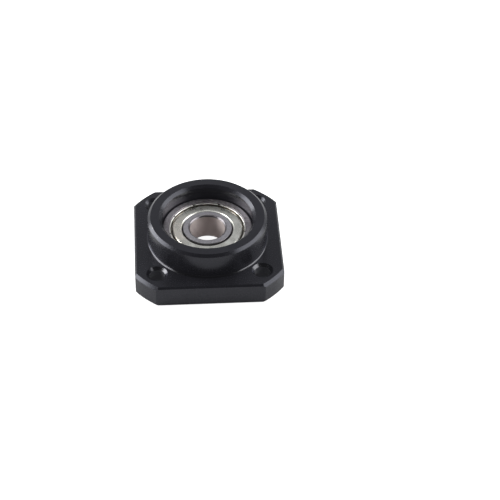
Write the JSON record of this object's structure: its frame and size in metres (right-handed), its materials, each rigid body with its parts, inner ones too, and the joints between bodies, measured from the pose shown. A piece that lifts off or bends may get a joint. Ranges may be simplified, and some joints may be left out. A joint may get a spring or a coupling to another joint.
{
  "type": "ball screw end support",
  "caption": "Square-flange end support for a ball screw: a stepped steel housing with a round pilot boss, four counterbored screw holes and a shielded deep groove ball bearing.",
  "frame": {"origin": "on the bearing's axis, at the centre of the flange's back face", "axes": "+Z along the bearing's axis, out of the pilot boss; +X and +Y square to the flange's flats"},
  "size_m": [0.042, 0.042, 0.015],
  "materials": {
    "black_oxide_steel": "black oxide over milled and turned steel, satin",
    "ring_steel": "ground bearing steel with an oil film, satin",
    "shield_steel": "pressed sheet steel, bright",
    "cage_steel": "pressed sheet steel, dull",
    "ball_steel": "polished"
  },
  "bodies": {
    "housing": {"housing": "black_oxide_steel", "outer_ring": "ring_steel", "front_shield": "shield_steel", "back_shield": "shield_steel"},
    "inner_ring": {"inner_ring": "ring_steel"},
    "cage": {"cage_front": "cage_steel", "cage_back": "cage_steel", "cage_rivets": "cage_steel"},
    "ball_1": {"ball_1": "ball_steel"},
    "ball_2": {"ball_2": "ball_steel"},
    "ball_3": {"ball_3": "ball_steel"},
    "ball_4": {"ball_4": "ball_steel"},
    "ball_5": {"ball_5": "ball_steel"},
    "ball_6": {"ball_6": "ball_steel"},
    "ball_7": {"ball_7": "ball_steel"}
  },
  "joints": [
    {"name": "inner_ring_spin", "type": "hinge", "parent": "housing", "child": "inner_ring", "pos_m": [0, 0, 0.0065], "axis": [0, 0, 1], "continuous": true},
    {"name": "cage_orbit", "type": "hinge", "parent": "housing", "child": "cage", "pos_m": [0, 0, 0.0065], "axis": [0, 0, 1], "continuous": true},
    {"name": "ball_1_spin", "type": "hinge", "parent": "cage", "child": "ball_1", "pos_m": [0.009, 0, 0.0065], "axis": [0, 0, 1], "continuous": true},
    {"name": "ball_2_spin", "type": "hinge", "parent": "cage", "child": "ball_2", "pos_m": [0.00561, 0.00704, 0.0065], "axis": [0, 0, 1], "continuous": true},
    {"name": "ball_3_spin", "type": "hinge", "parent": "cage", "child": "ball_3", "pos_m": [-0.002, 0.00877, 0.0065], "axis": [0, 0, 1], "continuous": true},
    {"name": "ball_4_spin", "type": "hinge", "parent": "cage", "child": "ball_4", "pos_m": [-0.00811, 0.0039, 0.0065], "axis": [0, 0, 1], "continuous": true},
    {"name": "ball_5_spin", "type": "hinge", "parent": "cage", "child": "ball_5", "pos_m": [-0.00811, -0.0039, 0.0065], "axis": [0, 0, 1], "continuous": true},
    {"name": "ball_6_spin", "type": "hinge", "parent": "cage", "child": "ball_6", "pos_m": [-0.002, -0.00877, 0.0065], "axis": [0, 0, 1], "continuous": true},
    {"name": "ball_7_spin", "type": "hinge", "parent": "cage", "child": "ball_7", "pos_m": [0.00561, -0.00704, 0.0065], "axis": [0, 0, 1], "continuous": true}
  ],
  "couplings": [
    {"joint": "cage_orbit", "follows": "inner_ring_spin", "ratio": 0.36772},
    {"joint": "ball_1_spin", "follows": "inner_ring_spin", "ratio": -1.7577},
    {"joint": "ball_2_spin", "follows": "inner_ring_spin", "ratio": -1.7577},
    {"joint": "ball_3_spin", "follows": "inner_ring_spin", "ratio": -1.7577},
    {"joint": "ball_4_spin", "follows": "inner_ring_spin", "ratio": -1.7577},
    {"joint": "ball_5_spin", "follows": "inner_ring_spin", "ratio": -1.7577},
    {"joint": "ball_6_spin", "follows": "inner_ring_spin", "ratio": -1.7577},
    {"joint": "ball_7_spin", "follows": "inner_ring_spin", "ratio": -1.7577}
  ]
}
